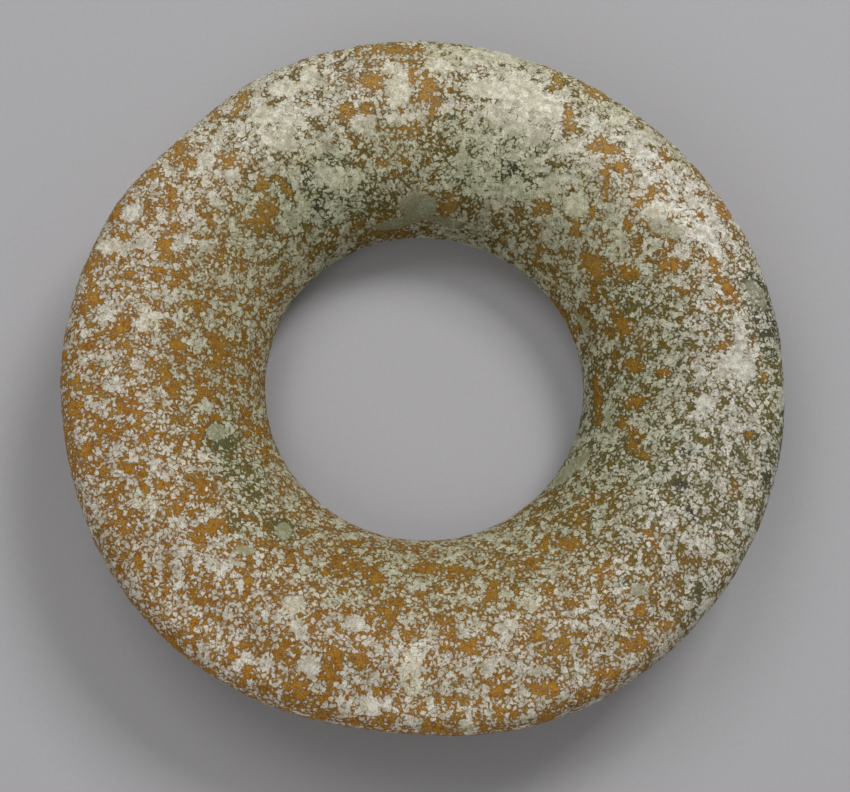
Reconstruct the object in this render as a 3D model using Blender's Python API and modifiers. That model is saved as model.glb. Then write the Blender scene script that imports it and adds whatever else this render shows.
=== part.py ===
"""A hand-ground jade ring: one solid turned round Z, with a funnelled hole and a worn, uneven rim.

The ring lies flat. The origin is under its middle, on the plane that it rests on.
"""

import math

import bmesh
import bpy

# Driving sizes, in metres
OUTER_DIAMETER = 0.124
HOLE_DIAMETER = 0.056
HEIGHT = 0.0223
WAIST_HEIGHT = 0.0073
CREST_FROM_RIM = 0.0112
CREST_ROUNDING = 0.0080
NOSE_ROUNDING = 0.0046
REST_LAND_FROM_RIM = 0.0110
REST_LAND_WIDTH = 0.0110

# How far the shoulder falls from level on its way out to the rim, in degrees
SHOULDER_SLOPE = 10.0

# How full each free slope of the section is: 1 is straight, 2 a quarter of an ellipse
FUNNEL_FULLNESS = 1.65
BELLY_FULLNESS = 1.75
UNDERCUT_FULLNESS = 1.80

# Points along each stretch of the section, and steps round the ring
FUNNEL_POINTS = 14
CREST_POINTS = 2
NOSE_POINTS = 6
BELLY_POINTS = 7
UNDERCUT_POINTS = 5
STEPS_ROUND = 112

# How far the hole was bored off the middle of the rim, towards +Y
HOLE_OFF_CENTRE = 0.0009

# Places where the rim was ground flatter, or left fuller where the depth is negative:
# direction and half width in degrees, then depth
RIM_GRINDING = (
    (12.0, 16.0, 0.00035),
    (50.0, 34.0, 0.00025),
    (105.0, 34.0, -0.00085),
    (143.0, 18.0, 0.00095),
    (228.0, 28.0, -0.00080),
    (272.0, 22.0, 0.00105),
    (310.0, 30.0, -0.00030),
)

STONE_COLOUR = (0.42, 0.33, 0.20, 1.0)
STONE_ROUGHNESS = 0.38

RIM_RADIUS = OUTER_DIAMETER / 2
WAIST_RADIUS = HOLE_DIAMETER / 2
CREST_RADIUS = RIM_RADIUS - CREST_FROM_RIM
LAND_OUTER = RIM_RADIUS - REST_LAND_FROM_RIM
LAND_INNER = LAND_OUTER - REST_LAND_WIDTH


def clear_scene():
    """Remove every object of the open scene."""
    for thing in list(bpy.data.objects):
        bpy.data.objects.remove(thing)


def quarter(flat_end, steep_end, fullness, count):
    """Points of a rounded slope, from where it runs level to where it stands upright.

    Both ends are (radius, height). The last point is left out, because the next slope starts there.
    """
    points = []
    for i in range(count):
        turn = math.pi / 2 * i / count
        along = math.sin(turn) ** (2 / fullness)
        down = math.cos(turn) ** (2 / fullness)
        radius = flat_end[0] + (steep_end[0] - flat_end[0]) * along
        height = steep_end[1] + (flat_end[1] - steep_end[1]) * down
        points.append((radius, height))
    return points


def bend(start, rounding, first, last, count):
    """Points of an arc that runs outward from a start point, falling from one slope to a steeper one."""
    steep = math.radians(first)
    points = []
    for i in range(1, count + 1):
        slope = math.radians(first + (last - first) * i / count)
        radius = start[0] + rounding * (math.sin(slope) - math.sin(steep))
        height = start[1] - rounding * (math.cos(steep) - math.cos(slope))
        points.append((radius, height))
    return points


def shoulder():
    """From the crest out to the rim: a soft bend, a straight fall and the round nose of the rim."""
    points = [(CREST_RADIUS, HEIGHT)]
    points += bend(points[-1], CREST_ROUNDING, 0.0, SHOULDER_SLOPE, CREST_POINTS)
    slope = math.radians(SHOULDER_SLOPE)
    nose_radius = RIM_RADIUS - NOSE_ROUNDING * (1.0 - math.sin(slope))
    fall = (nose_radius - points[-1][0]) * math.tan(slope)
    points.append((nose_radius, points[-1][1] - fall))
    points += bend(points[-1], NOSE_ROUNDING, SHOULDER_SLOPE, 90.0, NOSE_POINTS)
    return points


def section():
    """The ring's section at +X as a closed loop: down the outer side, under, and up through the hole."""
    outer = shoulder()
    rim = outer[-1]
    crest = outer[0]
    waist = (WAIST_RADIUS, WAIST_HEIGHT)
    belly = quarter((LAND_OUTER, 0.0), rim, BELLY_FULLNESS, BELLY_POINTS)
    undercut = quarter((LAND_INNER, 0.0), waist, UNDERCUT_FULLNESS, UNDERCUT_POINTS)
    funnel = quarter(crest, waist, FUNNEL_FULLNESS, FUNNEL_POINTS)
    return outer + belly[::-1] + undercut + [waist] + funnel[:0:-1]


def turned(name, loop, steps):
    """A closed loop at +X turned round Z with a Screw modifier, as a plain mesh object."""
    mesh = bpy.data.meshes.new(name + "_section")
    edges = [(i, (i + 1) % len(loop)) for i in range(len(loop))]
    mesh.from_pydata([(radius, 0.0, height) for radius, height in loop], edges, [])
    profile = bpy.data.objects.new(name + "_section", mesh)
    bpy.context.scene.collection.objects.link(profile)
    screw = profile.modifiers.new("turn", "SCREW")
    screw.axis = "Z"
    screw.angle = math.tau
    screw.steps = steps
    screw.render_steps = steps
    screw.use_merge_vertices = True
    screw.merge_threshold = 0.00001
    bpy.context.view_layer.update()
    evaluated = profile.evaluated_get(bpy.context.evaluated_depsgraph_get())
    solid = bpy.data.objects.new(name, bpy.data.meshes.new_from_object(evaluated))
    bpy.data.objects.remove(profile)
    return solid


def hump(direction, middle, half_width):
    """A smooth hump over directions in degrees: 1 in its middle, 0 past its half width."""
    away = abs((direction - middle + 180.0) % 360.0 - 180.0)
    if away >= half_width:
        return 0.0
    return 0.5 + 0.5 * math.cos(math.pi * away / half_width)


def shift_rim(solid):
    """Slide the ring's outer part towards -Y, fading to nothing at the hole."""
    for vertex in solid.data.vertices:
        radius = math.hypot(vertex.co.x, vertex.co.y)
        share = (radius - WAIST_RADIUS) / (RIM_RADIUS - WAIST_RADIUS)
        vertex.co.y -= HOLE_OFF_CENTRE * share


def grind_rim(solid):
    """Press the rim in where it was ground flatter, and out where it was left full.

    The press dies away from the rim to the crest above and to the resting land below.
    """
    for vertex in solid.data.vertices:
        radius = math.hypot(vertex.co.x, vertex.co.y)
        if radius <= LAND_OUTER:
            continue
        share = (radius - LAND_OUTER) / (RIM_RADIUS - LAND_OUTER)
        direction = math.degrees(math.atan2(vertex.co.y, vertex.co.x))
        press = sum(depth * hump(direction, middle, half) for middle, half, depth in RIM_GRINDING)
        scale = 1.0 - press * share / radius
        vertex.co.x *= scale
        vertex.co.y *= scale


def centre_box(solid):
    """Slide the ring flat on its plane until its box is centred on the origin."""
    for axis in (0, 1):
        places = [vertex.co[axis] for vertex in solid.data.vertices]
        middle = (min(places) + max(places)) / 2
        for vertex in solid.data.vertices:
            vertex.co[axis] -= middle


def finish_mesh(solid):
    """Merge the seam, turn the faces out and shade the stone smooth, with the land's edges sharp."""
    work = bmesh.new()
    work.from_mesh(solid.data)
    bmesh.ops.remove_doubles(work, verts=work.verts, dist=0.000001)
    bmesh.ops.recalc_face_normals(work, faces=work.faces)
    work.to_mesh(solid.data)
    work.free()
    solid.data.shade_smooth()
    solid.data.set_sharp_from_angle(angle=math.radians(40.0))


def stone_material():
    """The polished stone's mean colour."""
    stone = bpy.data.materials.new("mottled_jade")
    stone.use_nodes = True
    shader = stone.node_tree.nodes["Principled BSDF"]
    shader.inputs["Base Color"].default_value = STONE_COLOUR
    shader.inputs["Roughness"].default_value = STONE_ROUGHNESS
    shader.inputs["Metallic"].default_value = 0.0
    return stone


def main():
    """Build the ring in a collection of its own."""
    clear_scene()
    collection = bpy.data.collections.new("jade ring")
    bpy.context.scene.collection.children.link(collection)
    ring = turned("ring", section(), STEPS_ROUND)
    collection.objects.link(ring)
    grind_rim(ring)
    shift_rim(ring)
    centre_box(ring)
    finish_mesh(ring)
    ring.data.materials.append(stone_material())


main()
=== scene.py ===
"""A hand-ground ring of mottled jade, lying flat on a pale studio floor."""

import logging
import math
from dataclasses import dataclass, field
from enum import Enum
from typing import Any, Sequence, Union

import bmesh
import bpy
import numpy as np
from mathutils import Matrix, Vector


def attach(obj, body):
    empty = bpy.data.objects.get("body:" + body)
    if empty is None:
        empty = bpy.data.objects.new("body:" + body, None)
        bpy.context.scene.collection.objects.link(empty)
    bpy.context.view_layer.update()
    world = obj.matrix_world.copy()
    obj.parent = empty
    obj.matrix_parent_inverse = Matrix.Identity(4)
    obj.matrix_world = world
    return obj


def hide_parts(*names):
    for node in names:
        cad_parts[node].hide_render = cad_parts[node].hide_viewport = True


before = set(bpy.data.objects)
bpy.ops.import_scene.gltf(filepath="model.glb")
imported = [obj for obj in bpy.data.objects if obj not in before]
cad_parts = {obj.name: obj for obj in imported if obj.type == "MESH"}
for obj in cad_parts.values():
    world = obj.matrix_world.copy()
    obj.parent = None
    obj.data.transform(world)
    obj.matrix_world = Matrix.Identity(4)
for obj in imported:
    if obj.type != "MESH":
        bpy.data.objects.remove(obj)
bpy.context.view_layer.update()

LOG = logging.getLogger("jade_ring")

Colour = tuple[float, float, float, float]
FULL: Colour = (1.0, 1.0, 1.0, 1.0)


class Zone(Enum):
    """What a patch of the stone changes, by the name of the mesh attribute that carries it."""

    WARM = "warm"
    PALE = "pale"
    CREAM = "cream"
    DARK = "dark"
    SMOOTH = "smooth"
    # Brightness multiplier: the cream and white patches' own lightness, plus painted shade towards
    # the hole and in darkened patches, and painted light along the crest and in lightened patches.
    PAINTED_SHADE_AND_TONE = "tone"


def smooth_rise(low: float, high: float, values: np.ndarray) -> np.ndarray:
    """A smooth climb from 0 at low to 1 at high.

    Args:
        low: where the climb starts.
        high: where it ends.
        values: the numbers to look up.

    Returns:
        The climb's height at each number.
    """
    share = np.clip((values - low) / (high - low), 0.0, 1.0)
    return share * share * (3.0 - 2.0 * share)


def degrees_apart(directions: np.ndarray, middle: float) -> np.ndarray:
    """How far directions lie from a middle one, the short way round.

    Args:
        directions: directions in degrees.
        middle: the direction they are compared with, in degrees.

    Returns:
        Angles from 0 to 180 degrees.
    """
    return np.abs((directions - middle + 180.0) % 360.0 - 180.0)


@dataclass(frozen=True)
class PhotoCamera:
    """The camera at the photograph's viewing angle, and where the photograph shows a point."""

    elevation: float = 73.2
    roll: float = 7.4
    distance: float = 0.34
    aim: tuple[float, float, float] = (0.0004, -0.0031, 0.012)
    lens: float = 83.1
    sensor: float = 36.0
    frame_width: int = 850
    frame_height: int = 792

    def axes(self) -> tuple[Vector, Vector, Vector, Vector]:
        """How the camera stands.

        Returns:
            Its place and its right, up and back directions.
        """
        rise = math.radians(self.elevation)
        back = Vector((0.0, -math.cos(rise), math.sin(rise)))
        place = Vector(self.aim) + back * self.distance
        right = Vector((1.0, 0.0, 0.0))
        up = back.cross(right)
        tilt = math.radians(self.roll)
        turned_right = right * math.cos(tilt) + up * math.sin(tilt)
        turned_up = up * math.cos(tilt) - right * math.sin(tilt)
        return place, turned_right, turned_up, back

    def pixels(self, places: np.ndarray) -> tuple[np.ndarray, np.ndarray]:
        """Where the photograph shows some points.

        Args:
            places: points in metres, one in each row.

        Returns:
            How far right and how far down each one shows, in the photograph's pixels.
        """
        place, right, up, back = self.axes()
        seen = places - np.array(place)
        depth = -seen @ np.array(back)
        scale = self.lens / self.sensor * self.frame_width
        across = self.frame_width / 2 + scale * (seen @ np.array(right)) / depth
        down = self.frame_height / 2 - scale * (seen @ np.array(up)) / depth
        return across, down

    def build(self) -> bpy.types.Object:
        """Add the camera and make it the scene's own.

        Returns:
            The camera.
        """
        place, right, up, back = self.axes()
        lens = bpy.data.cameras.new("photo_camera")
        lens.lens = self.lens
        lens.sensor_width = self.sensor
        lens.clip_start = 0.01
        lens.clip_end = 20.0
        camera = bpy.data.objects.new("photo_camera", lens)
        turn = Matrix((right, up, back)).transposed().to_4x4()
        camera.matrix_world = Matrix.Translation(place) @ turn
        bpy.context.scene.collection.objects.link(camera)
        bpy.context.scene.camera = camera
        return camera


Feed = Union["Value", bpy.types.NodeSocket, float, Sequence[float]]


@dataclass(frozen=True)
class Cloud:
    """A cloudy noise: its clouds' size in metres, its finer layers, and how far it is slid."""

    size: float
    detail: float = 2.0
    roughness: float = 0.5
    shift: float = 0.0


class Value:
    """A number that varies over a surface. Arithmetic on it adds Math nodes to its material."""

    def __init__(self, bench: "Workbench", socket: bpy.types.NodeSocket) -> None:
        """Wrap an output socket.

        Args:
            bench: the workbench of the material that the socket is in.
            socket: the output that gives the number.
        """
        self.bench = bench
        self.socket = socket

    def math(self, operation: str, first: Feed, second: Feed = 0.0) -> "Value":
        """The result of one Math node.

        Args:
            operation: the node's operation.
            first: its first number.
            second: its second number.

        Returns:
            The result.
        """
        node = self.bench.node("ShaderNodeMath", {"operation": operation}, {0: first, 1: second})
        return Value(self.bench, node.outputs[0])

    def __add__(self, other: Feed) -> "Value":
        """This number plus another.

        Args:
            other: what is added.

        Returns:
            The sum.
        """
        return self.math("ADD", self, other)

    __radd__ = __add__

    def __sub__(self, other: Feed) -> "Value":
        """This number less another.

        Args:
            other: what is taken away.

        Returns:
            The difference.
        """
        return self.math("SUBTRACT", self, other)

    def __rsub__(self, other: Feed) -> "Value":
        """Another number less this one.

        Args:
            other: what this number is taken from.

        Returns:
            The difference.
        """
        return self.math("SUBTRACT", other, self)

    def __mul__(self, other: Feed) -> "Value":
        """This number times another.

        Args:
            other: what it is multiplied by.

        Returns:
            The product.
        """
        return self.math("MULTIPLY", self, other)

    __rmul__ = __mul__

    def clamped(self) -> "Value":
        """This number, kept from 0 to 1.

        Returns:
            The kept number.
        """
        node = self.bench.node("ShaderNodeClamp", {}, {"Value": self})
        return Value(self.bench, node.outputs[0])

    def swing(self, strength: float) -> "Value":
        """This number's swing about one half.

        Args:
            strength: what the swing is multiplied by.

        Returns:
            A number that is 0 on average.
        """
        return (self - 0.5) * strength

    def rise(self, low: float, high: float) -> "Value":
        """A smooth climb of this number.

        Args:
            low: where the climb is 0.
            high: where it is 1.

        Returns:
            The climb's height, from 0 to 1.
        """
        settings = {"interpolation_type": "SMOOTHSTEP"}
        sockets = {"Value": self, "From Min": low, "From Max": high}
        node = self.bench.node("ShaderNodeMapRange", settings, sockets)
        return Value(self.bench, node.outputs[0])


class Workbench:
    """Adds nodes to one material."""

    def __init__(self, material: bpy.types.Material) -> None:
        """Open a material's nodes.

        Args:
            material: the material to work on.
        """
        material.use_nodes = True
        self.tree = material.node_tree
        self.shader = self.tree.nodes["Principled BSDF"]
        self.place = self.node("ShaderNodeTexCoord", {}, {}).outputs["Object"]

    def node(self, kind: str, settings: dict[str, Any], sockets: dict[Any, Feed]) -> bpy.types.Node:
        """Add a node.

        Args:
            kind: the node's type.
            settings: its own settings, set first.
            sockets: values or links for its input sockets, by name or number.

        Returns:
            The node.
        """
        node = self.tree.nodes.new(kind)
        for name, setting in settings.items():
            setattr(node, name, setting)
        for key, feed in sockets.items():
            self.feed(node.inputs[key], feed)
        return node

    def feed(self, socket: bpy.types.NodeSocket, feed: Feed) -> None:
        """Link or set an input socket.

        Args:
            socket: the input.
            feed: what goes into it.
        """
        source = feed.socket if isinstance(feed, Value) else feed
        if isinstance(source, bpy.types.NodeSocket):
            self.tree.links.new(source, socket)
        else:
            socket.default_value = source

    def noise(self, cloud: Cloud) -> Value:
        """Cloudy noise over the object's own places.

        Args:
            cloud: its size, finer layers and slide.

        Returns:
            The noise, about 0.5 on average.
        """
        place = self.place
        if cloud.shift:
            slid = (cloud.shift, cloud.shift * 1.7, cloud.shift * 0.6)
            mapping = {"Vector": place, "Location": slid}
            place = self.node("ShaderNodeMapping", {}, mapping).outputs[0]
        sockets = {"Vector": place, "Scale": 1.0 / cloud.size}
        sockets |= {"Detail": cloud.detail, "Roughness": cloud.roughness}
        return Value(self, self.node("ShaderNodeTexNoise", {}, sockets).outputs[0])

    def warped(self, size: float, reach: float) -> bpy.types.NodeSocket:
        """The object's place, pushed about by noise.

        Args:
            size: the size of the pushes' pattern in metres.
            reach: how far they push in metres.

        Returns:
            The socket of the pushed place.
        """
        sockets = {"Vector": self.place, "Scale": 1.0 / size, "Detail": 1.0}
        push = self.node("ShaderNodeTexNoise", {}, sockets).outputs[1]
        centred = self.vector("SUBTRACT", push, (0.5, 0.5, 0.5))
        scaled = self.vector("MULTIPLY", centred, (2 * reach, 2 * reach, 2 * reach))
        return self.vector("ADD", self.place, scaled)

    def vector(self, operation: str, first: Feed, second: Feed) -> bpy.types.NodeSocket:
        """The result of one Vector Math node.

        Args:
            operation: the node's operation.
            first: its first vector.
            second: its second vector.

        Returns:
            The output socket.
        """
        node = self.node("ShaderNodeVectorMath", {"operation": operation}, {0: first, 1: second})
        return node.outputs[0]

    def cells(self, place: bpy.types.NodeSocket, size: float, feature: str) -> bpy.types.Node:
        """A pattern of random cells.

        Args:
            place: the place it is looked up at.
            size: the size of a cell in metres.
            feature: what the Voronoi node measures.

        Returns:
            The Voronoi node.
        """
        sockets = {"Vector": place, "Scale": 1.0 / size}
        return self.node("ShaderNodeTexVoronoi", {"feature": feature}, sockets)

    def attribute(self, zone: Zone) -> Value:
        """One of the mesh's own numbers.

        Args:
            zone: which one.

        Returns:
            Its value over the surface.
        """
        node = self.node("ShaderNodeAttribute", {"attribute_name": zone.value}, {})
        return Value(self, node.outputs["Fac"])

    def blend(self, share: Feed, first: Feed, second: Feed,
              how: str = "MIX") -> bpy.types.NodeSocket:
        """One colour laid over another.

        Args:
            share: how much of the second colour shows.
            first: the colour underneath.
            second: the colour on top.
            how: the Mix node's blend type.

        Returns:
            The socket of the blended colour.
        """
        settings = {"data_type": "RGBA", "blend_type": how}
        return self.node("ShaderNodeMix", settings, {0: share, 6: first, 7: second}).outputs[2]

    def multiply(self, first: Feed, second: Feed) -> bpy.types.NodeSocket:
        """One colour times another.

        Args:
            first: a colour.
            second: the colour it is multiplied by.

        Returns:
            The socket of the product.
        """
        return self.blend(1.0, first, second, "MULTIPLY")


@dataclass(frozen=True)
class JadeFinish:
    """Polished, weathered jade: pale flakes crowded over an orange, brown or olive ground."""

    orange: Colour = (0.338, 0.168, 0.023, 1.0)
    tan: Colour = (0.370, 0.232, 0.072, 1.0)
    rust: Colour = (0.290, 0.112, 0.014, 1.0)
    brown: Colour = (0.185, 0.116, 0.024, 1.0)
    olive: Colour = (0.150, 0.136, 0.052, 1.0)
    black_green: Colour = (0.078, 0.073, 0.046, 1.0)
    grey_flake: Colour = (0.530, 0.508, 0.435, 1.0)
    cream_flake: Colour = (0.600, 0.568, 0.455, 1.0)
    smooth_green: Colour = (0.330, 0.320, 0.230, 1.0)
    outline: Colour = (0.560, 0.530, 0.420, 1.0)
    # Greener tint laid where the painted shade towards the hole is deepest; the crest tint goes
    # with the painted light on the crest.
    hole_tint: Colour = (0.995, 1.040, 0.880, 1.0)
    crest_tint: Colour = (1.000, 1.000, 0.990, 1.0)
    dim_flake: Colour = (0.760, 0.765, 0.700, 1.0)
    bright_flake: Colour = (1.130, 1.130, 1.150, 1.0)
    dim_grit: Colour = (0.800, 0.800, 0.780, 1.0)
    bright_grit: Colour = (1.200, 1.200, 1.220, 1.0)
    grain_size: float = 0.00090
    grain_share: float = 1.2
    bareness: float = 0.63
    bend_size: float = 0.0008
    bend_reach: float = 0.00038
    cluster: Cloud = Cloud(0.0026, 2.0, 0.5, 0.19)
    clump: Cloud = Cloud(0.0011, 1.0, 0.5, 0.41)
    crumb: Cloud = Cloud(0.00045, 2.0, 0.6, 0.3)
    stain: Cloud = Cloud(0.0035, 3.0, 0.6, 0.11)
    fine_stain: Cloud = Cloud(0.0006, 2.0, 0.6, 0.23)
    rusting: Cloud = Cloud(0.0011, 3.0, 0.65, 0.29)
    creaming: Cloud = Cloud(0.006, 2.0, 0.5, 0.37)
    milkiness: Cloud = Cloud(0.0009, 2.0, 0.6, 0.59)
    smooth_edge: Cloud = Cloud(0.0012, 3.0, 0.6, 0.53)
    specks: Cloud = Cloud(0.0006, 1.0, 0.5, 0.71)
    grit: Cloud = Cloud(0.00022, 1.0, 0.6, 0.77)
    veil: Cloud = Cloud(0.0013, 3.0, 0.6, 0.47)
    wear: Cloud = Cloud(0.0008, 3.0, 0.6, 0.83)
    pitting: Cloud = Cloud(0.0004, 2.0, 0.6, 0.91)
    roughness: float = 0.55
    gloss: float = 0.65
    coat_roughness: float = 0.28
    specular: float = 0.04
    ior: float = 1.5
    bump_strength: float = 0.45
    bump_depth: float = 0.00006

    def spread(self, bench: Workbench) -> tuple[Value, Value]:
        """How far each point lies inside a pale flake.

        Args:
            bench: the workbench of the stone's material.

        Returns:
            A number above 0 inside the flakes and below 0 between them, and a random tone for
            each grain.
        """
        place = bench.warped(self.bend_size, self.bend_reach)
        cell = bench.cells(place, self.grain_size, "F1")
        edge = bench.cells(place, self.grain_size, "DISTANCE_TO_EDGE")
        tone = Value(bench, cell.outputs["Color"])
        inside = Value(bench, edge.outputs["Distance"])
        crowd = bench.noise(self.cluster).swing(0.90) + bench.noise(self.clump).swing(0.70)
        crowd = crowd + bench.noise(self.crumb).swing(0.90) + tone.swing(0.30)
        spread = inside * self.grain_share + crowd + bench.attribute(Zone.PALE) - self.bareness
        return spread, tone

    def ground(self, bench: Workbench, spread: Value) -> bpy.types.NodeSocket:
        """The colour between the flakes, darkest right beside them.

        Args:
            bench: the workbench of the stone's material.
            spread: how far each point lies inside a flake.

        Returns:
            The socket of the colour.
        """
        stain = bench.noise(self.stain).swing(0.9)
        warm = bench.attribute(Zone.WARM) + stain + bench.noise(self.fine_stain).swing(1.1)
        dull = bench.blend(warm.rise(-0.1, 0.35), self.black_green, self.olive)
        earthy = bench.blend(warm.rise(0.20, 0.60), dull, self.brown)
        hot = bench.blend(bench.noise(self.rusting).rise(0.42, 0.62), self.orange, self.rust)
        hot = bench.blend(bench.attribute(Zone.CREAM).rise(0.15, 0.75) * 0.85, hot, self.tan)
        colour = bench.blend(warm.rise(0.45, 0.95), earthy, hot)
        beside = bench.blend(spread.rise(-0.24, -0.02), FULL, self.outline)
        return bench.multiply(colour, beside)

    def pale(self, bench: Workbench, tone: Value) -> bpy.types.NodeSocket:
        """The flakes' own colour.

        Args:
            bench: the workbench of the stone's material.
            tone: a random tone for each grain.

        Returns:
            The socket of the colour.
        """
        cream = bench.attribute(Zone.CREAM) + bench.noise(self.creaming).swing(0.8)
        flake = bench.blend(cream.rise(0.15, 0.85), self.grey_flake, self.cream_flake)
        bright = (tone * 0.5 + bench.noise(self.milkiness)).rise(0.45, 1.05)
        return bench.multiply(flake, bench.blend(bright, self.dim_flake, self.bright_flake))

    def colour(self, bench: Workbench, spread: Value, cover: Value,
               tone: Value) -> bpy.types.NodeSocket:
        """The stone's whole pattern.

        Args:
            bench: the workbench of the stone's material.
            spread: how far each point lies inside a flake.
            cover: how much of the ground the flakes cover.
            tone: a random tone for each grain.

        Returns:
            The socket of the colour.
        """
        colour = bench.blend(cover, self.ground(bench, spread), self.pale(bench, tone))
        smooth = bench.attribute(Zone.SMOOTH) + bench.noise(self.smooth_edge).swing(0.7)
        colour = bench.blend(smooth.rise(0.35, 0.70) * 0.75, colour, self.smooth_green)
        speck = bench.noise(self.specks) + bench.attribute(Zone.DARK) * 0.22
        colour = bench.blend(speck.rise(0.66, 0.80) * 0.6, colour, self.black_green)
        grit = bench.noise(self.grit).rise(0.32, 0.68)
        return bench.multiply(colour, bench.blend(grit, self.dim_grit, self.bright_grit))

    def build(self) -> bpy.types.Material:
        """Make the stone's material.

        Returns:
            The material.
        """
        material = bpy.data.materials.new("mottled_jade")
        bench = Workbench(material)
        inputs = bench.shader.inputs
        spread, tone = self.spread(bench)
        veil = bench.noise(self.veil).rise(0.36, 0.60)
        cover = spread.rise(-0.05, 0.26) * (0.68 + veil * 0.32)
        pattern = self.colour(bench, spread, cover, tone)
        # The pattern is multiplied by the tone attribute's painted shade and painted light, tinted
        # greener where that painted shade is deepest.
        level = bench.attribute(Zone.PAINTED_SHADE_AND_TONE)
        tint = bench.blend(level.rise(0.85, 1.15), self.hole_tint, self.crest_tint)
        shade_and_light_grey = bench.node("ShaderNodeCombineColor", {}, {0: level, 1: level, 2: level}).outputs[0]
        bench.feed(inputs["Base Color"], bench.multiply(pattern, bench.multiply(shade_and_light_grey, tint)))
        wear = bench.noise(self.wear)
        bench.feed(inputs["Roughness"], self.roughness + wear.swing(0.4))
        coat = (cover * wear.rise(0.35, 0.70) * self.gloss).clamped()
        bench.feed(inputs["Coat Weight"], coat)
        inputs["Coat Roughness"].default_value = self.coat_roughness
        inputs["Specular IOR Level"].default_value = self.specular
        inputs["IOR"].default_value = self.ior
        height = bench.noise(self.pitting) * 0.5 + cover * 0.4
        relief = {"Height": height, "Strength": self.bump_strength, "Distance": self.bump_depth}
        bench.feed(inputs["Normal"], bench.node("ShaderNodeBump", {}, relief).outputs[0])
        return material


class Kind(Enum):
    """What a patch of the stone is like, as how far it changes each zone."""

    ORANGE = {Zone.WARM: 0.45, Zone.PALE: -0.27, Zone.DARK: -0.4}
    BROWN = {Zone.WARM: 0.12, Zone.PALE: -0.12}
    OLIVE = {Zone.WARM: -0.70, Zone.PALE: -0.04}
    BLACK = {Zone.WARM: -0.60, Zone.PALE: -0.14, Zone.DARK: 0.3}
    CREAM = {Zone.PALE: 0.30, Zone.CREAM: 0.60, Zone.DARK: -0.6, Zone.PAINTED_SHADE_AND_TONE: 0.06}
    # White flakes, and in some patches a painted highlight on the crest.
    WHITE = {Zone.PALE: 0.30, Zone.CREAM: -0.20, Zone.DARK: -0.6, Zone.PAINTED_SHADE_AND_TONE: 0.06}
    SMOOTH = {Zone.SMOOTH: 1.0, Zone.DARK: -0.8}
    # Painted light: lightens the stone.
    PAINTED_LIGHT_PATCH = {Zone.PAINTED_SHADE_AND_TONE: 0.30}
    # Painted shade: darkens the stone.
    PAINTED_SHADE_PATCH = {Zone.PAINTED_SHADE_AND_TONE: -0.25}

    @property
    def fade(self) -> tuple[float, float]:
        """How softly such a patch ends.

        Returns:
            Where it starts and ends fading out, as shares of its half width.
        """
        return (0.70, 1.20) if self in (Kind.CREAM, Kind.WHITE, Kind.SMOOTH) else (0.30, 1.50)


@dataclass(frozen=True)
class Patch:
    """A patch of the stone, placed by the pixels of the photograph that show it."""

    across: float
    down: float
    length: float
    width: float
    turn: float = 0.0
    strength: float = 1.0

    def weight(self, across: np.ndarray, down: np.ndarray, fade: tuple[float, float]) -> np.ndarray:
        """How strongly the patch shows at some pixels.

        Args:
            across: how far right each point shows.
            down: how far down each point shows.
            fade: where the patch starts and ends fading out, as shares of its half width.

        Returns:
            The patch's strength at each point, fading out at its edge.
        """
        tilt = math.radians(self.turn)
        right = across - self.across
        up = self.down - down
        along = (right * math.cos(tilt) + up * math.sin(tilt)) / (self.length / 2)
        aside = (up * math.cos(tilt) - right * math.sin(tilt)) / (self.width / 2)
        return self.strength * (1.0 - smooth_rise(*fade, np.hypot(along, aside)))


@dataclass(frozen=True)
class Quarter:
    """The stone at one direction round the ring, in degrees from the photograph's right."""

    direction: float
    warm: float
    pale: float
    cream: float
    dark: float


STONE_ROUND = (
    Quarter(0.0, 0.40, 0.62, 0.25, 0.25),
    Quarter(35.0, 0.75, 0.63, 0.40, 0.05),
    Quarter(70.0, 0.35, 0.76, 0.75, 0.15),
    Quarter(95.0, 0.75, 0.60, 0.50, 0.10),
    Quarter(120.0, 0.45, 0.70, 0.60, 0.15),
    Quarter(150.0, 0.95, 0.60, 0.35, 0.05),
    Quarter(180.0, 1.05, 0.57, 0.30, 0.00),
    Quarter(215.0, 1.05, 0.58, 0.25, 0.00),
    Quarter(250.0, 1.00, 0.58, 0.25, 0.00),
    Quarter(285.0, 0.90, 0.59, 0.35, 0.05),
    Quarter(310.0, 0.70, 0.61, 0.35, 0.15),
    Quarter(335.0, 0.30, 0.62, 0.30, 0.35),
)

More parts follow.
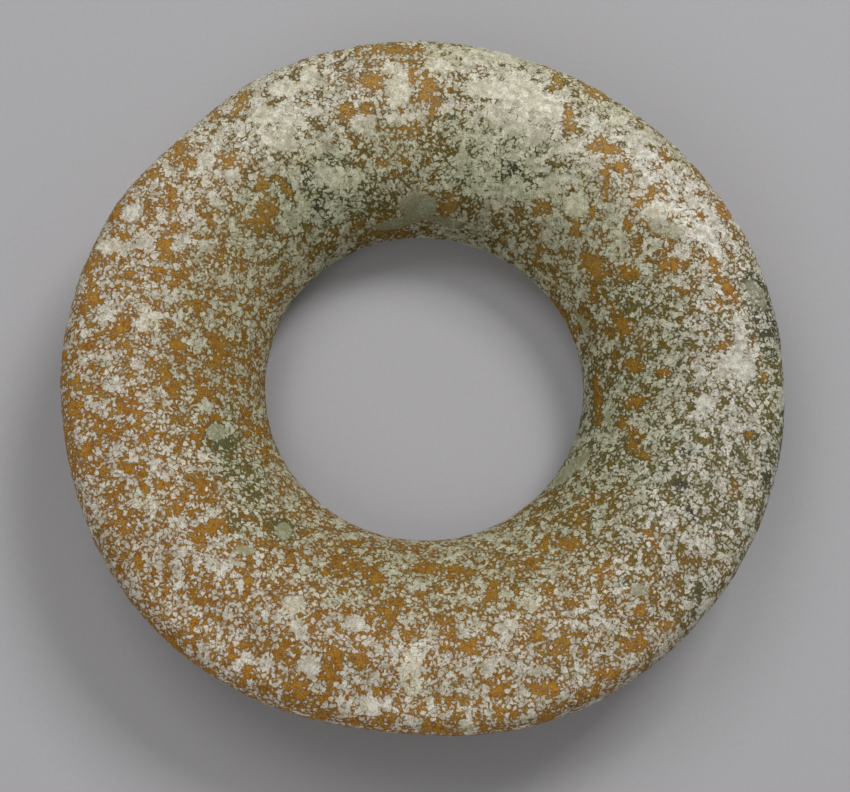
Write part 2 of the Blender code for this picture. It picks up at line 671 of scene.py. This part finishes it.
PATCHES: dict[Kind, tuple[Patch, ...]] = {
    Kind.ORANGE: (
        Patch(412, 51, 60, 12, 0, 0.6), Patch(428, 86, 30, 20, 80), Patch(411, 78, 26, 10, 80),
        Patch(434, 108, 22, 12, 60), Patch(412, 126, 24, 18, 60), Patch(376, 52, 44, 12, 5, 0.7),
        Patch(372, 82, 22, 20), Patch(348, 113, 24, 18), Patch(365, 108, 20, 10, 90),
        Patch(551, 68, 20, 10, -30), Patch(556, 84, 24, 14, 60), Patch(592, 92, 44, 14, -25),
        Patch(570, 112, 34, 22, 90, 0.5), Patch(570, 124, 22, 18, 90), Patch(602, 143, 24, 18, -30),
        Patch(606, 172, 60, 11, 88), Patch(593, 150, 14, 8, -60), Patch(617, 152, 18, 12, 90),
        Patch(624, 168, 20, 16, -40), Patch(450, 205, 30, 14, 60, 0.7), Patch(541, 210, 22, 16, 90),
        Patch(592, 212, 14, 8, 90), Patch(385, 165, 16, 8), Patch(662, 161, 26, 12, 80),
        Patch(655, 190, 26, 12, 20), Patch(642, 203, 20, 12, 10), Patch(724, 210, 26, 14, -60),
        Patch(700, 214, 18, 9, -60), Patch(715, 266, 32, 12, -70), Patch(730, 292, 34, 11, -62),
        Patch(672, 264, 30, 14, 10), Patch(592, 264, 26, 22, -50), Patch(629, 272, 22, 18),
        Patch(627, 225, 18, 10, 90), Patch(576, 226, 22, 9, 80), Patch(563, 318, 60, 6, -58),
        Patch(625, 325, 22, 18, -40), Patch(611, 308, 18, 12, -50), Patch(633, 366, 22, 18, 10),
        Patch(598, 400, 60, 9, -87), Patch(634, 402, 24, 16, 10), Patch(626, 427, 26, 12, -70),
        Patch(640, 432, 20, 12, -40), Patch(636, 447, 20, 14, -50), Patch(648, 457, 16, 10),
        Patch(663, 372, 16, 12), Patch(716, 305, 18, 14, -40), Patch(724, 345, 16, 10),
        Patch(764, 376, 14, 10, 90), Patch(733, 488, 16, 14), Patch(750, 434, 12, 10),
        Patch(592, 500, 50, 14, 20, 0.6), Patch(571, 545, 30, 14), Patch(543, 548, 16, 14),
        Patch(530, 566, 40, 20, 10, 0.5), Patch(492, 590, 22, 12, 80), Patch(548, 592, 16, 12, 90),
        Patch(605, 572, 34, 18, 0, 0.6), Patch(651, 538, 30, 8, -60), Patch(640, 610, 16, 10, 70),
        Patch(562, 648, 24, 18, 60), Patch(497, 686, 40, 18, 75), Patch(538, 690, 18, 14),
        Patch(552, 690, 20, 12, 90), Patch(612, 672, 26, 14, 10), Patch(636, 645, 40, 16, 0, 0.6),
        Patch(665, 628, 20, 14, -20), Patch(600, 690, 30, 12, 20), Patch(545, 718, 24, 8, 10),
        Patch(470, 650, 14, 14), Patch(452, 570, 44, 12), Patch(425, 566, 30, 12, 0, 0.8),
        Patch(350, 568, 34, 20, 0, 0.7), Patch(378, 576, 20, 12, -30), Patch(392, 610, 26, 12, 70),
        Patch(328, 650, 24, 18, 80), Patch(333, 672, 26, 20, 70), Patch(296, 692, 32, 22, 30),
        Patch(375, 690, 14, 10, 30), Patch(387, 716, 40, 14, 20), Patch(362, 662, 12, 12),
        Patch(290, 650, 30, 14, 0, 0.7), Patch(450, 728, 60, 10, 0, 0.7), Patch(500, 712, 20, 12),
        Patch(446, 668, 20, 10, 90), Patch(165, 370, 26, 12, 90), Patch(205, 388, 28, 14, -60),
        Patch(219, 366, 18, 14, 90), Patch(213, 417, 26, 9), Patch(202, 425, 14, 10, 90),
        Patch(175, 388, 22, 10, 90), Patch(125, 410, 38, 12, -10), Patch(118, 428, 38, 12, 10),
        Patch(152, 433, 20, 12, 10), Patch(82, 385, 20, 14, -20), Patch(75, 412, 20, 14, 80),
        Patch(87, 450, 22, 14, -50), Patch(205, 485, 28, 14, -40), Patch(255, 430, 14, 12),
        Patch(243, 410, 20, 7, -70), Patch(165, 485, 14, 10), Patch(128, 470, 16, 14),
        Patch(215, 525, 24, 20, 0, 0.7), Patch(168, 588, 16, 14), Patch(190, 572, 18, 12, 90),
        Patch(125, 525, 16, 12), Patch(200, 496, 30, 10, -20), Patch(265, 548, 24, 20, 0, 0.5),
        Patch(180, 150, 26, 16, 50), Patch(190, 161, 16, 12), Patch(232, 160, 38, 16),
        Patch(155, 172, 20, 12, 40), Patch(172, 203, 24, 10, 90), Patch(117, 213, 14, 12),
        Patch(173, 226, 16, 12, -60), Patch(167, 246, 26, 12, 80), Patch(126, 236, 14, 10),
        Patch(88, 264, 18, 14, 60), Patch(92, 288, 26, 16, 80), Patch(88, 308, 20, 14, 20),
        Patch(122, 322, 26, 12, 60), Patch(108, 331, 24, 10, 10), Patch(168, 271, 38, 8, -8),
        Patch(128, 345, 14, 9), Patch(217, 346, 32, 14, -80), Patch(176, 346, 22, 12, -50),
        Patch(222, 250, 24, 10, 90, 0.8), Patch(266, 212, 32, 20, 80),
        Patch(250, 220, 30, 10, 0, 0.7), Patch(285, 188, 28, 10, -50), Patch(262, 185, 30, 10, 90),
        Patch(240, 104, 30, 14, 60), Patch(212, 116, 14, 12), Patch(370, 228, 110, 40, 14, 0.55),
        Patch(505, 232, 130, 44, -24, 0.60), Patch(68, 430, 140, 16, 93, 0.5),
        Patch(94, 556, 120, 18, -61, 0.6), Patch(150, 625, 100, 18, -45, 0.6),
        Patch(218, 680, 110, 18, -32, 0.6), Patch(318, 721, 120, 16, -14, 0.6),
        Patch(440, 734, 130, 12, 0, 0.5),
    ),
    Kind.BROWN: (
        Patch(610, 330, 150, 60, -75, 0.8), Patch(440, 180, 40, 60, 0, 0.5),
        Patch(530, 205, 60, 30, 0, 0.5), Patch(270, 300, 60, 30, 60, 0.4),
    ),
    Kind.OLIVE: (
        Patch(245, 480, 110, 50, -60, 0.85), Patch(285, 530, 40, 30, 0, 0.7),
        Patch(500, 165, 120, 60, 0, 0.3), Patch(222, 430, 60, 40, 80, 0.7),
        Patch(345, 195, 130, 60, 0, 0.45), Patch(620, 300, 60, 50, 0, 0.35),
        Patch(440, 160, 60, 60, 0, 0.25),
    ),
    Kind.BLACK: (
        Patch(766, 318, 90, 28, -76, 1.0), Patch(752, 280, 34, 18, -60, 0.8),
        Patch(513, 170, 16, 12), Patch(330, 160, 30, 12, 0, 0.6), Patch(305, 172, 14, 12, 0, 0.6),
        Patch(320, 205, 26, 16, 0, 0.5), Patch(691, 515, 16, 12, -60), Patch(690, 453, 16, 12),
        Patch(637, 506, 6, 6), Patch(680, 485, 16, 12), Patch(783, 410, 70, 5, 88, 0.8),
        Patch(700, 590, 40, 18, 40, 0.8), Patch(622, 583, 16, 12, 0, 0.8),
        Patch(235, 525, 34, 20, -55, 0.7), Patch(770, 460, 70, 18, 80, 0.6),
        Patch(288, 550, 24, 10, 0, 0.5), Patch(455, 115, 14, 12, 0, 0.7),
        Patch(549, 134, 14, 10, 0, 0.6), Patch(690, 615, 40, 8, 45, 0.6),
    ),
    Kind.CREAM: (
        Patch(345, 178, 50, 22, -6, 0.7), Patch(399, 88, 44, 24, 88), Patch(388, 68, 14, 12),
        Patch(434, 66, 14, 12, 0, 0.8), Patch(365, 123, 28, 20), Patch(405, 119, 36, 14),
        Patch(499, 56, 36, 13, -8), Patch(530, 95, 50, 26, -30, 0.8), Patch(486, 88, 44, 20),
        Patch(515, 108, 60, 50, 0, 0.5), Patch(550, 112, 30, 24, 0, 0.7), Patch(537, 134, 22, 14),
        Patch(575, 145, 16, 12), Patch(576, 206, 26, 20, -50), Patch(309, 78, 28, 20, 80),
        Patch(284, 88, 26, 18), Patch(285, 128, 50, 44, 0, 0.6), Patch(262, 118, 26, 16, 0, 0.6),
        Patch(660, 211, 30, 18, 0, 0.6), Patch(618, 118, 26, 14, 0, 0.5),
        Patch(412, 672, 50, 26, 90, 0.8), Patch(468, 728, 20, 14), Patch(293, 605, 22, 18, 0, 0.8),
        Patch(533, 607, 12, 10), Patch(110, 246, 28, 16, 0, 0.8), Patch(450, 60, 60, 24, 0, 0.5),
        Patch(150, 322, 24, 20, 0, 0.7), Patch(145, 500, 30, 20, 0, 0.7),
    ),
    # White flakes, and on the crest at upper left, upper right and right a painted highlight.
    Kind.WHITE: (
        Patch(146, 246, 20, 18, 0, 0.7), Patch(130, 213, 30, 16, 30), Patch(490, 668, 22, 22),
        Patch(372, 705, 24, 20), Patch(352, 625, 26, 16), Patch(510, 630, 30, 20, 0, 0.7),
        Patch(706, 405, 24, 18), Patch(215, 570, 26, 14, -50), Patch(113, 383, 20, 16),
        Patch(208, 403, 14, 14), Patch(782, 398, 30, 7, 88), Patch(706, 604, 26, 8, 50),
        Patch(640, 135, 40, 14, -20, 0.7), Patch(645, 152, 50, 10, -30, 0.7),
        Patch(205, 160, 22, 14), Patch(105, 315, 26, 14, 80), Patch(705, 235, 30, 16, -50, 0.6),
        Patch(735, 370, 40, 50, 0, 0.4), Patch(690, 205, 100, 44, -52, 0.45),
        Patch(742, 350, 34, 60, 10, 0.35), Patch(310, 665, 20, 24), Patch(300, 630, 26, 14, -50),
        Patch(228, 175, 30, 10, 0, 0.8),
    ),
    Kind.SMOOTH: (
        Patch(418, 206, 40, 26, 0), Patch(398, 223, 56, 12, 12, 0.8),
        Patch(444, 222, 44, 10, -14, 0.7), Patch(216, 432, 20, 18), Patch(245, 550, 22, 10, -10),
        Patch(284, 531, 18, 20, 0, 0.8), Patch(572, 468, 64, 13, 44, 0.7), Patch(640, 590, 20, 13),
        Patch(584, 325, 30, 8, -60, 0.8), Patch(665, 228, 46, 22, -20, 0.6),
        Patch(608, 418, 12, 7, 90), Patch(756, 296, 44, 20, -66, 0.6),
        Patch(330, 148, 26, 12, 0, 0.55), Patch(485, 86, 22, 12, 0, 0.5),
    ),
    # Painted light along the lower, left and upper right rim.
    Kind.PAINTED_LIGHT_PATCH: (
        Patch(385, 722, 300, 44, 0, 1.0), Patch(225, 660, 220, 50, -42, 0.8),
        Patch(75, 470, 160, 30, 98, 0.4), Patch(560, 700, 160, 40, 24, 0.3),
        Patch(655, 200, 130, 50, -48, 0.3),
    ),
    # Painted shade on the top of the hole's wall and along the top and right of the rim.
    Kind.PAINTED_SHADE_PATCH: (
        Patch(430, 232, 320, 84, 0, 0.75), Patch(610, 100, 300, 50, -35, 0.5),
        Patch(440, 50, 220, 30, -3, 0.45), Patch(776, 370, 180, 36, 88, 0.5),
    ),
}


@dataclass(frozen=True)
class Wear:
    """One layer of wear: its grain and depth in metres, and the group of points that takes it."""

    name: str
    grain: float
    depth: float
    group: str = ""


@dataclass
class StoneRing:
    """The ring itself: a turned solid with a funnelled hole and a worn, uneven rim."""

    outer_diameter: float = 0.124
    hole_diameter: float = 0.056
    height: float = 0.0223
    waist_height: float = 0.0073
    crest_from_rim: float = 0.0112
    crest_rounding: float = 0.0080
    nose_rounding: float = 0.0046
    shoulder_slope: float = 10.0
    rest_land_from_rim: float = 0.0110
    rest_land_width: float = 0.0110
    funnel_fullness: float = 1.65
    belly_fullness: float = 1.75
    undercut_fullness: float = 1.80
    hole_off_centre: float = 0.0009
    rim_grinding: tuple[tuple[float, float, float], ...] = (
        (12.0, 16.0, 0.00035),
        (50.0, 34.0, 0.00025),
        (105.0, 34.0, -0.00085),
        (143.0, 18.0, 0.00095),
        (228.0, 28.0, -0.00080),
        (272.0, 22.0, 0.00105),
        (310.0, 30.0, -0.00030),
    )
    wear: tuple[Wear, ...] = (
        Wear("slow_waves", 0.022, 0.00045),
        Wear("hand_polish", 0.006, 0.00012),
        Wear("rim_chips", 0.0022, 0.00035, "rim"),
    )
    chips_start: float = 0.006
    chips_full: float = 0.001
    # Painted shade and painted light by share of the way from hole to rim: darker towards the hole,
    # lighter on the crest and rim.
    painted_shade_and_light_by_radius: tuple[tuple[float, float], ...] = (
        (0.00, 0.82), (0.12, 0.86), (0.25, 0.91), (0.45, 0.97),
        (0.60, 1.15), (0.74, 1.12), (0.88, 1.10), (1.00, 1.10),
    )
    top_starts: float = -0.25
    top_full: float = 0.10
    section_points: int = 164
    steps_round: int = 560
    curve_points: int = 60
    merge_distance: float = 0.00001
    camera: PhotoCamera = field(default_factory=PhotoCamera)
    finish: JadeFinish = field(default_factory=JadeFinish)

    @property
    def rim_radius(self) -> float:
        """From the axis to the rim.

        Returns:
            The radius in metres.
        """
        return self.outer_diameter / 2

    @property
    def waist_radius(self) -> float:
        """From the axis to the narrowest part of the hole.

        Returns:
            The radius in metres.
        """
        return self.hole_diameter / 2

    @property
    def land_outer(self) -> float:
        """From the axis to the outer edge of the land that the ring rests on.

        Returns:
            The radius in metres.
        """
        return self.rim_radius - self.rest_land_from_rim

    def slope(self, flat_end: tuple[float, float], steep_end: tuple[float, float],
              fullness: float) -> list[tuple[float, float]]:
        """A rounded slope, from where it runs level to where it stands upright.

        Args:
            flat_end: radius and height of its level end.
            steep_end: radius and height of its upright end.
            fullness: 1 for a straight line, 2 for a quarter of an ellipse.

        Returns:
            Radius and height of its points, without the last.
        """
        points = []
        for i in range(self.curve_points):
            turn = math.pi / 2 * i / self.curve_points
            along = math.sin(turn) ** (2 / fullness)
            down = math.cos(turn) ** (2 / fullness)
            radius = flat_end[0] + (steep_end[0] - flat_end[0]) * along
            points.append((radius, steep_end[1] + (flat_end[1] - steep_end[1]) * down))
        return points

    def bend(self, start: tuple[float, float], rounding: float, first: float,
             last: float) -> list[tuple[float, float]]:
        """An arc that runs outward and falls from one slope to a steeper one.

        Args:
            start: radius and height of its first point.
            rounding: its radius of curvature.
            first: its first slope in degrees.
            last: its last slope in degrees.

        Returns:
            Radius and height of its points, without the first.
        """
        steep = math.radians(first)
        points = []
        for i in range(1, self.curve_points + 1):
            turn = math.radians(first + (last - first) * i / self.curve_points)
            radius = start[0] + rounding * (math.sin(turn) - math.sin(steep))
            points.append((radius, start[1] - rounding * (math.cos(steep) - math.cos(turn))))
        return points

    def section(self) -> np.ndarray:
        """The ring's section as a closed loop of evenly spaced points.

        Returns:
            Radius and height of each point.
        """
        outer = [(self.rim_radius - self.crest_from_rim, self.height)]
        outer += self.bend(outer[-1], self.crest_rounding, 0.0, self.shoulder_slope)
        fall = math.radians(self.shoulder_slope)
        nose = self.rim_radius - self.nose_rounding * (1.0 - math.sin(fall))
        outer.append((nose, outer[-1][1] - (nose - outer[-1][0]) * math.tan(fall)))
        outer += self.bend(outer[-1], self.nose_rounding, self.shoulder_slope, 90.0)
        waist = (self.waist_radius, self.waist_height)
        land_inner = self.land_outer - self.rest_land_width
        belly = self.slope((self.land_outer, 0.0), outer[-1], self.belly_fullness)
        undercut = self.slope((land_inner, 0.0), waist, self.undercut_fullness)
        funnel = self.slope(outer[0], waist, self.funnel_fullness)
        loop = np.array(outer + belly[::-1] + undercut + [waist] + funnel[:0:-1] + outer[:1])
        steps = np.hypot(*np.diff(loop, axis=0).T)
        travelled = np.concatenate(([0.0], np.cumsum(steps)))
        even = np.linspace(0.0, travelled[-1], self.section_points, endpoint=False)
        return np.column_stack([np.interp(even, travelled, loop[:, axis]) for axis in (0, 1)])

    def turn_solid(self) -> bpy.types.Object:
        """Draw the section from a circle and spin it round the axis.

        Returns:
            The turned ring.
        """
        bpy.ops.object.select_all(action="DESELECT")
        bpy.ops.mesh.primitive_circle_add(vertices=self.section_points, radius=self.height / 2)
        ring = bpy.context.object
        ring.name = "stone_ring"
        bpy.ops.object.mode_set(mode="EDIT")
        work = bmesh.from_edit_mesh(ring.data)
        work.verts.ensure_lookup_table()
        for vertex, (radius, height) in zip(work.verts, self.section()):
            vertex.co = (radius, 0.0, height)
        bmesh.update_edit_mesh(ring.data)
        bpy.ops.mesh.select_all(action="SELECT")
        bpy.ops.mesh.spin(steps=self.steps_round, angle=math.tau, center=(0, 0, 0), axis=(0, 0, 1))
        bpy.ops.mesh.select_all(action="SELECT")
        bpy.ops.mesh.remove_doubles(threshold=self.merge_distance)
        bpy.ops.mesh.normals_make_consistent(inside=False)
        sort_faces(bmesh.from_edit_mesh(ring.data))
        bmesh.update_edit_mesh(ring.data)
        bpy.ops.object.mode_set(mode="OBJECT")
        bpy.ops.object.shade_smooth()
        return ring

    def wear_rim(self, places: np.ndarray) -> np.ndarray:
        """Grind the rim uneven and slide it off the hole's middle.

        Args:
            places: the ring's points, one in each row.

        Returns:
            The moved points, centred on the origin.
        """
        radius = np.hypot(places[:, 0], places[:, 1])
        direction = np.degrees(np.arctan2(places[:, 1], places[:, 0]))
        share = np.clip((radius - self.land_outer) / (self.rim_radius - self.land_outer), 0.0, 1.0)
        press = np.zeros(len(places))
        for middle, half_width, depth in self.rim_grinding:
            away = np.minimum(degrees_apart(direction, middle) / half_width, 1.0)
            press += depth * (0.5 + 0.5 * np.cos(np.pi * away))
        scale = 1.0 - press * share / radius
        moved = places * np.column_stack([scale, scale, np.ones(len(places))])
        reach = np.hypot(moved[:, 0], moved[:, 1])
        outward = (reach - self.waist_radius) / (self.rim_radius - self.waist_radius)
        moved[:, 1] -= self.hole_off_centre * outward
        middle = (moved.min(axis=0) + moved.max(axis=0)) / 2
        moved[:, :2] -= middle[:2]
        return moved

    def roughen(self, ring: bpy.types.Object) -> None:
        """Give the polished surface its slow waves and the rim its small chips.

        Args:
            ring: the turned ring.
        """
        rim = ring.vertex_groups.new(name="rim")
        places = points_of(ring)
        radius = np.hypot(places[:, 0], places[:, 1])
        start, full = self.rim_radius - self.chips_start, self.rim_radius - self.chips_full
        near_rim = smooth_rise(start, full, radius)
        for index in np.nonzero(near_rim > 0.0)[0]:
            rim.add([int(index)], float(near_rim[index]), "REPLACE")
        for layer in self.wear:
            texture = bpy.data.textures.new(layer.name, "CLOUDS")
            texture.noise_scale = layer.grain
            texture.noise_depth = 1
            press = ring.modifiers.new(layer.name, "DISPLACE")
            press.texture = texture
            press.texture_coords = "LOCAL"
            press.strength = layer.depth
            press.mid_level = 0.5
            press.vertex_group = layer.group
            bpy.ops.object.modifier_apply(modifier=layer.name)
        places = points_of(ring)
        places[:, 2] = np.maximum(places[:, 2], 0.0)
        move_points(ring, places)

    def paint_zones(self, ring: bpy.types.Object) -> None:
        """Write on the mesh where its stone is warm, pale, cream, dark or smooth, and where painted
        shade and painted light darken or lighten it.

        Args:
            ring: the finished ring.
        """
        places = points_of(ring)
        across, down = self.camera.pixels(places)
        normals = np.zeros(len(places) * 3)
        ring.data.vertices.foreach_get("normal", normals)
        on_top = smooth_rise(self.top_starts, self.top_full, normals.reshape(-1, 3)[:, 2])
        turned = np.degrees(np.arctan2(places[:, 1], places[:, 0]))
        direction = (turned - self.camera.roll) % 360.0
        stops = [quarter.direction for quarter in STONE_ROUND]
        for zone in Zone:
            # The tone zone starts from painted shade towards the hole and painted light on the
            # crest.
            if zone is Zone.PAINTED_SHADE_AND_TONE:
                amount = self.painted_hole_shade_and_crest_light(places, on_top)
            else:
                base = [getattr(quarter, zone.value, 0.0) for quarter in STONE_ROUND]
                amount = np.interp(direction, stops, base, period=360.0)
            for kind, patches in PATCHES.items():
                change = kind.value.get(zone, 0.0)
                for patch in patches if change else ():
                    amount += change * patch.weight(across, down, kind.fade) * on_top
            layer = ring.data.attributes.new(zone.value, "FLOAT", "POINT")
            layer.data.foreach_set("value", amount.astype(np.float32))

    def painted_hole_shade_and_crest_light(self, places: np.ndarray, on_top: np.ndarray) -> np.ndarray:
        """Painted shade darkening the stone towards the hole and painted light lightening it along
        the crest.

        Args:
            places: the ring's points.
            on_top: 1 on the ring's top and 0 underneath.

        Returns:
            A number that each point's colour is multiplied by.
        """
        radius = np.hypot(places[:, 0], places[:, 1])
        share = (radius - self.waist_radius) / (self.rim_radius - self.waist_radius)
        stops, levels = zip(*self.painted_shade_and_light_by_radius)
        tone = np.interp(share, stops, levels)
        return 1.0 + (tone - 1.0) * on_top

    def build(self) -> bpy.types.Object:
        """Make the ring, dress it and tie it to the frame.

        Returns:
            The finished ring.
        """
        ring = self.turn_solid()
        move_points(ring, self.wear_rim(points_of(ring)))
        self.roughen(ring)
        self.paint_zones(ring)
        ring.data.materials.append(self.finish.build())
        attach(ring, "root")
        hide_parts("ring")
        return ring


def sort_faces(work: bmesh.types.BMesh) -> None:
    """Number a mesh's faces by their points, so that every run numbers them alike.

    Args:
        work: the mesh, open for editing.
    """
    work.verts.index_update()
    count = len(work.verts)

    def place(face: bmesh.types.BMFace) -> int:
        """Where a face comes in the order.

        Args:
            face: the face.

        Returns:
            A number made from its lowest and its highest point.
        """
        lowest, *_, highest = sorted(vertex.index for vertex in face.verts)
        return lowest * count + highest

    work.faces.sort(key=place)


def points_of(piece: bpy.types.Object) -> np.ndarray:
    """A piece's points.

    Args:
        piece: the piece.

    Returns:
        Its points in metres, one in each row.
    """
    flat = np.zeros(len(piece.data.vertices) * 3)
    piece.data.vertices.foreach_get("co", flat)
    return flat.reshape(-1, 3)


def move_points(piece: bpy.types.Object, places: np.ndarray) -> None:
    """Put a piece's points in new places.

    Args:
        piece: the piece.
        places: the new places, one in each row.
    """
    piece.data.vertices.foreach_set("co", places.ravel())
    piece.data.update()


@dataclass(frozen=True)
class StudioFloor:
    """The pale surface that the ring lies on."""

    colour: Colour = (0.450, 0.442, 0.455, 1.0)
    dim: Colour = (0.985, 0.985, 0.985, 1.0)
    bright: Colour = (1.015, 1.015, 1.015, 1.0)
    fibre: Cloud = Cloud(0.0008, 2.0, 0.6)
    roughness: float = 0.9
    specular: float = 0.1
    size: float = 3.0

    def build(self) -> bpy.types.Object:
        """Lay the floor.

        Returns:
            The floor.
        """
        bpy.ops.object.select_all(action="DESELECT")
        bpy.ops.mesh.primitive_plane_add(size=self.size)
        floor = bpy.context.object
        floor.name = "studio_floor"
        material = bpy.data.materials.new("pale_paper")
        bench = Workbench(material)
        tint = bench.blend(bench.noise(self.fibre).rise(0.3, 0.7), self.dim, self.bright)
        bench.feed(bench.shader.inputs["Base Color"], bench.multiply(self.colour, tint))
        bench.shader.inputs["Roughness"].default_value = self.roughness
        bench.shader.inputs["Specular IOR Level"].default_value = self.specular
        floor.data.materials.append(material)
        return floor


@dataclass(frozen=True)
class SoftBox:
    """One soft lamp that faces the ring, placed by the direction it shines from."""

    name: str
    direction: float
    elevation: float
    distance: float
    width: float
    depth: float
    strength: float

    def build(self) -> bpy.types.Object:
        """Hang the lamp.

        Returns:
            The lamp.
        """
        lamp = bpy.data.lights.new(self.name, "AREA")
        lamp.shape = "RECTANGLE"
        lamp.size = self.width
        lamp.size_y = self.depth
        lamp.energy = self.strength * (math.pi * self.distance) ** 2
        side = math.radians(self.direction)
        rise = math.radians(self.elevation)
        level = math.cos(rise)
        away = Vector((level * math.cos(side), level * math.sin(side), math.sin(rise)))
        light = bpy.data.objects.new(self.name, lamp)
        turn = away.to_track_quat("Z", "Y").to_matrix().to_4x4()
        light.matrix_world = Matrix.Translation(away * self.distance) @ turn
        bpy.context.scene.collection.objects.link(light)
        return light


@dataclass(frozen=True)
class StudioLight:
    """The studio's soft lamps and the little light that its walls give back."""

    lamps: tuple[SoftBox, ...] = (
        SoftBox("right_lamp", 60.0, 46.0, 1.2, 0.50, 0.40, 0.51),
        SoftBox("left_lamp", 136.0, 57.0, 1.2, 0.65, 0.55, 0.21),
        SoftBox("fill_lamp", 244.0, 46.0, 1.2, 0.70, 0.70, 0.17),
    )
    room: float = 0.23

    def build(self) -> None:
        """Hang the lamps and set the room's light."""
        for lamp in self.lamps:
            lamp.build()
        world = bpy.data.worlds.new("studio_room")
        world.use_nodes = True
        walls = world.node_tree.nodes["Background"].inputs
        walls["Strength"].default_value = self.room
        walls["Color"].default_value = FULL
        bpy.context.scene.world = world
        bpy.context.scene.view_settings.view_transform = "Standard"


def main() -> None:
    """Build the scene, piece by piece, and log what is built."""
    logging.basicConfig(level=logging.INFO, format="%(name)s: %(message)s")
    camera = PhotoCamera()
    camera.build()
    StudioLight().build()
    StudioFloor().build()
    LOG.info("studio: camera, lamps and floor")
    ring = StoneRing(camera=camera).build()
    LOG.info("%s: %d faces", ring.name, len(ring.data.polygons))


if __name__ == "__main__":
    main()
